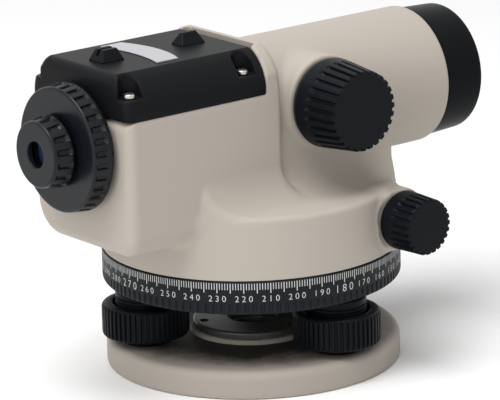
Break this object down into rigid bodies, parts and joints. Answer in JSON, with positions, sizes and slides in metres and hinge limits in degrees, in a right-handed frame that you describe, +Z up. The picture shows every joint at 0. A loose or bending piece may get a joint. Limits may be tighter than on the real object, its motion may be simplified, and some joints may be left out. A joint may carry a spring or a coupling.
{
  "type": "automatic level",
  "caption": "Surveyor's automatic level: short telescope with compensator on a turning drum with a degree circle, levelled by foot screws on a round base.",
  "frame": {"origin": "centre of the base plate's underside, where the tripod's fastening screw enters", "axes": "+Z up along the levelled vertical axis, +X along the telescope's line of sight towards the objective, +Y to the side away from the focusing knob"},
  "size_m": [0.1938, 0.1358, 0.1304],
  "materials": {
    "cream_paint": "cast, with semi-matt cream paint",
    "black_paint": "satin black paint",
    "black_plastic": "satin",
    "cover_plastic": "satin",
    "black_anodised": "matt anodised",
    "circle_anodised": "matt anodised",
    "bare_aluminium": "brushed",
    "nickel": "polished",
    "steel": "ground",
    "brass": "machined",
    "glass": "coated",
    "mirror": "polished"
  },
  "bodies": {
    "base": {"base_plate": "cream_paint", "tripod_bush": "steel", "clamp_disc": "bare_aluminium", "foot_bushes": "black_paint"},
    "foot_knob_body_a": {"foot_screw_a": "steel", "foot_knob_a": "black_plastic"},
    "foot_knob_body_b": {"foot_screw_b": "steel", "foot_knob_b": "black_plastic"},
    "foot_knob_body_c": {"foot_screw_c": "steel", "foot_knob_c": "black_plastic"},
    "nut_a": {"foot_nut_a": "black_anodised"},
    "nut_b": {"foot_nut_b": "black_anodised"},
    "levelling_head": {"tribrach": "black_anodised", "spindle": "steel", "spindle_nut": "steel", "clutch_spring": "steel", "foot_nut_c": "black_anodised"},
    "horizontal_circle": {"circle_ring": "circle_anodised"},
    "slip_wheel": {"worm_wheel": "brass"},
    "telescope": {"housing": "cream_paint", "bearing_bush": "brass", "worm_bushes": "brass", "top_cover": "cover_plastic", "cover_screws": "nickel", "rear_sight": "cover_plastic", "front_sight": "cover_plastic", "label_plate": "bare_aluminium", "objective_hood": "black_anodised", "objective_cell": "black_anodised", "objective_lens": "glass", "focus_guide": "black_anodised", "focus_bush": "brass", "eyepiece_mount": "black_anodised", "eyepiece_cap": "black_plastic", "reticle_cell": "black_anodised", "reticle_glass": "glass", "reticle_screws": "steel", "compensator_frame": "black_anodised", "fixed_prism": "glass", "damper_cup": "brass", "vial_holder": "black_plastic", "bubble_vial": "glass", "mirror_bracket": "black_plastic"},
    "tangent_screw": {"tangent_shaft": "steel", "tangent_knob_near": "black_plastic", "tangent_knob_far": "black_plastic"},
    "focusing_knob": {"focus_shaft": "steel", "focus_knob": "black_plastic"},
    "focusing_lens": {"focus_carriage": "brass", "focus_lens": "glass"},
    "dial": {"diopter_dial": "black_plastic"},
    "eyepiece": {"eyepiece_barrel": "black_anodised", "eye_lens": "glass", "field_lens": "glass"},
    "swinging_prism": {"pendulum": "brass", "pendulum_prism": "glass", "suspension_wires": "steel"},
    "bubble_mirror": {"mirror_frame": "black_plastic", "mirror_glass": "mirror"}
  },
  "joints": [
    {"name": "tilt_a", "type": "hinge", "parent": "base", "child": "nut_a", "pos_m": [-0.01641, -0.01343, 0.0375], "axis": [0.6334, -0.7738, 0], "range_deg": [-2, 2]},
    {"name": "tilt_b", "type": "hinge", "parent": "nut_a", "child": "nut_b", "pos_m": [0.01983, -0.00749, 0.0375], "axis": [0.3535, 0.9354, 0], "range_deg": [-2, 2]},
    {"name": "tilt_c", "type": "hinge", "parent": "nut_b", "child": "levelling_head", "pos_m": [-0.00343, 0.02092, 0.0375], "axis": [-0.9869, -0.1616, 0], "range_deg": [-2, 2]},
    {"name": "foot_screw_a", "type": "hinge", "parent": "base", "child": "foot_knob_body_a", "pos_m": [0.03281, 0.02686, 0.0086], "axis": [0, 0, 1], "range_deg": [-860, 860]},
    {"name": "foot_screw_b", "type": "hinge", "parent": "base", "child": "foot_knob_body_b", "pos_m": [-0.03966, 0.01499, 0.0086], "axis": [0, 0, 1], "range_deg": [-860, 860]},
    {"name": "foot_screw_c", "type": "hinge", "parent": "base", "child": "foot_knob_body_c", "pos_m": [0.00685, -0.04184, 0.0086], "axis": [0, 0, 1], "range_deg": [-860, 860]},
    {"name": "circle_turn", "type": "hinge", "parent": "levelling_head", "child": "horizontal_circle", "pos_m": [0, 0, 0.04], "axis": [0, 0, 1], "continuous": true},
    {"name": "coarse_turn", "type": "hinge", "parent": "levelling_head", "child": "slip_wheel", "pos_m": [0, 0, 0.055], "axis": [0, 0, 1], "continuous": true},
    {"name": "fine_turn", "type": "hinge", "parent": "slip_wheel", "child": "telescope", "pos_m": [0, 0, 0.065], "axis": [0, 0, 1], "continuous": true},
    {"name": "tangent_turn", "type": "hinge", "parent": "telescope", "child": "tangent_screw", "pos_m": [0.0304, 0, 0.058], "axis": [0, 1, 0], "continuous": true},
    {"name": "focus_turn", "type": "hinge", "parent": "telescope", "child": "focusing_knob", "pos_m": [0.0152, 0, 0.1014], "axis": [0, 1, 0], "range_deg": [-159, 159]},
    {"name": "focus_slide", "type": "slide", "parent": "telescope", "child": "focusing_lens", "axis": [1, 0, 0], "range_m": [-0.01, 0.01]},
    {"name": "dial_turn", "type": "hinge", "parent": "telescope", "child": "dial", "pos_m": [-0.093, 0, 0.0965], "axis": [1, 0, 0], "range_deg": [-180, 180]},
    {"name": "eyepiece_slide", "type": "slide", "parent": "telescope", "child": "eyepiece", "axis": [1, 0, 0], "range_m": [-0.0015, 0.0015]},
    {"name": "compensator_swing", "type": "hinge", "parent": "telescope", "child": "swinging_prism", "pos_m": [-0.03, 0, 0.105], "axis": [0, 1, 0], "range_deg": [-0.7, 0.7]},
    {"name": "mirror_fold", "type": "hinge", "parent": "telescope", "child": "bubble_mirror", "pos_m": [-0.0015, 0.045, 0.0865], "axis": [0, 1, 0], "range_deg": [-42, 45]}
  ],
  "couplings": [
    {"joint": "foot_screw_a", "follows": "tilt_a", "ratio": -399.61},
    {"joint": "foot_screw_b", "follows": "tilt_b", "ratio": -399.61},
    {"joint": "foot_screw_c", "follows": "tilt_c", "ratio": -399.61},
    {"joint": "tangent_turn", "follows": "fine_turn", "ratio": 90},
    {"joint": "focus_turn", "follows": "focus_slide", "rad_per_m": -277},
    {"joint": "dial_turn", "follows": "eyepiece_slide", "rad_per_m": 2094}
  ]
}
